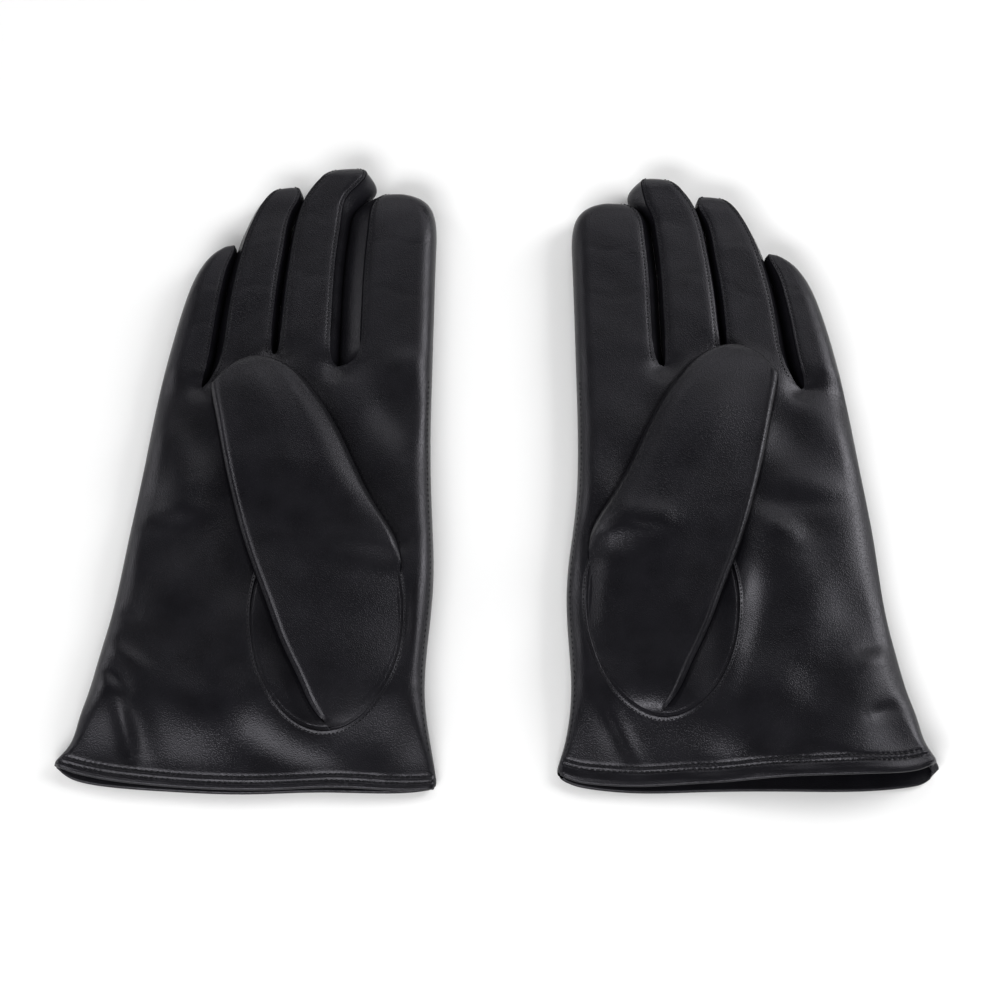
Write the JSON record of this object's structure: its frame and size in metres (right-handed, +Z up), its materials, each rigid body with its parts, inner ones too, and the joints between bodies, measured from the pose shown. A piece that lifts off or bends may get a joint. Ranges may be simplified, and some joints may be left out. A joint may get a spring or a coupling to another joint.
{
  "type": "pair of leather gloves",
  "caption": "Pair of lined black leather dress gloves lying palm up with thumbs folded over the palms, with hinged fingers and thumbs.",
  "frame": {"origin": "bottom centre of the pair's bounding box, on the surface that the backs of the gloves lie on", "axes": "+Z up out of the palms, +Y from the hems to the fingertips, +X from the right-hand glove to the left-hand glove"},
  "size_m": [0.316, 0.2491, 0.026],
  "materials": {
    "leather": "smooth grain with a soft sheen",
    "lining": "fine knitted wool, matte",
    "thread": "fine polished thread"
  },
  "bodies": {
    "right_palm": {"right_trank": "leather", "right_palm_lining": "lining", "right_hem": "leather", "right_hem_stitching": "thread", "right_side_seam_stitching": "thread", "right_thumb_hole_stitching": "thread", "right_thumb_seat": "leather"},
    "right_index_finger": {"right_index_leather": "leather", "right_index_fourchette": "leather", "right_index_lining": "lining", "right_index_stitching": "thread"},
    "right_middle_finger": {"right_middle_leather": "leather", "right_middle_fourchette_low": "leather", "right_middle_fourchette_high": "leather", "right_middle_lining": "lining", "right_middle_stitching": "thread"},
    "right_ring_finger": {"right_ring_leather": "leather", "right_ring_fourchette_low": "leather", "right_ring_fourchette_high": "leather", "right_ring_lining": "lining", "right_ring_stitching": "thread"},
    "right_little_finger": {"right_little_leather": "leather", "right_little_fourchette": "leather", "right_little_lining": "lining", "right_little_stitching": "thread"},
    "right_thumb": {"right_thumb_leather": "leather", "right_thumb_lining": "lining", "right_thumb_stitching": "thread"},
    "left_palm": {"left_trank": "leather", "left_palm_lining": "lining", "left_hem": "leather", "left_hem_stitching": "thread", "left_side_seam_stitching": "thread", "left_thumb_hole_stitching": "thread", "left_thumb_seat": "leather"},
    "left_index_finger": {"left_index_leather": "leather", "left_index_fourchette": "leather", "left_index_lining": "lining", "left_index_stitching": "thread"},
    "left_middle_finger": {"left_middle_leather": "leather", "left_middle_fourchette_low": "leather", "left_middle_fourchette_high": "leather", "left_middle_lining": "lining", "left_middle_stitching": "thread"},
    "left_ring_finger": {"left_ring_leather": "leather", "left_ring_fourchette_low": "leather", "left_ring_fourchette_high": "leather", "left_ring_lining": "lining", "left_ring_stitching": "thread"},
    "left_little_finger": {"left_little_leather": "leather", "left_little_fourchette": "leather", "left_little_lining": "lining", "left_little_stitching": "thread"},
    "left_thumb": {"left_thumb_leather": "leather", "left_thumb_lining": "lining", "left_thumb_stitching": "thread"}
  },
  "joints": [
    {"name": "right_index_knuckle", "type": "hinge", "parent": "right_palm", "child": "right_index_finger", "pos_m": [-0.04335, 0.046, 0.014], "axis": [0.9993, -0.0374, 0], "range_deg": [0, 85]},
    {"name": "right_middle_knuckle", "type": "hinge", "parent": "right_palm", "child": "right_middle_finger", "pos_m": [-0.07305, 0.0475, 0.014], "axis": [0.992, -0.1263, 0], "range_deg": [0, 85]},
    {"name": "right_ring_knuckle", "type": "hinge", "parent": "right_palm", "child": "right_ring_finger", "pos_m": [-0.09695, 0.047, 0.014], "axis": [0.9904, -0.1382, 0], "range_deg": [0, 85]},
    {"name": "right_little_knuckle", "type": "hinge", "parent": "right_palm", "child": "right_little_finger", "pos_m": [-0.11935, 0.036, 0.014], "axis": [0.9812, -0.1927, 0], "range_deg": [0, 85]},
    {"name": "right_thumb_fold", "type": "hinge", "parent": "right_palm", "child": "right_thumb", "pos_m": [-0.06075, -0.1015, 0.026], "axis": [0.3914, 0.9202, 0], "range_deg": [0, 90]},
    {"name": "left_index_knuckle", "type": "hinge", "parent": "left_palm", "child": "left_index_finger", "pos_m": [0.04335, 0.046, 0.014], "axis": [0.9993, 0.0374, 0], "range_deg": [0, 85]},
    {"name": "left_middle_knuckle", "type": "hinge", "parent": "left_palm", "child": "left_middle_finger", "pos_m": [0.07305, 0.0475, 0.014], "axis": [0.992, 0.1263, 0], "range_deg": [0, 85]},
    {"name": "left_ring_knuckle", "type": "hinge", "parent": "left_palm", "child": "left_ring_finger", "pos_m": [0.09695, 0.047, 0.014], "axis": [0.9904, 0.1382, 0], "range_deg": [0, 85]},
    {"name": "left_little_knuckle", "type": "hinge", "parent": "left_palm", "child": "left_little_finger", "pos_m": [0.11935, 0.036, 0.014], "axis": [0.9812, 0.1927, 0], "range_deg": [0, 85]},
    {"name": "left_thumb_fold", "type": "hinge", "parent": "left_palm", "child": "left_thumb", "pos_m": [0.06075, -0.1015, 0.026], "axis": [0.3914, -0.9202, 0], "range_deg": [0, 90]},
    {"name": "left_glove_apart", "type": "slide", "parent": "right_palm", "child": "left_palm", "axis": [1, 0, 0], "range_m": [-0.015, 0.1]}
  ]
}
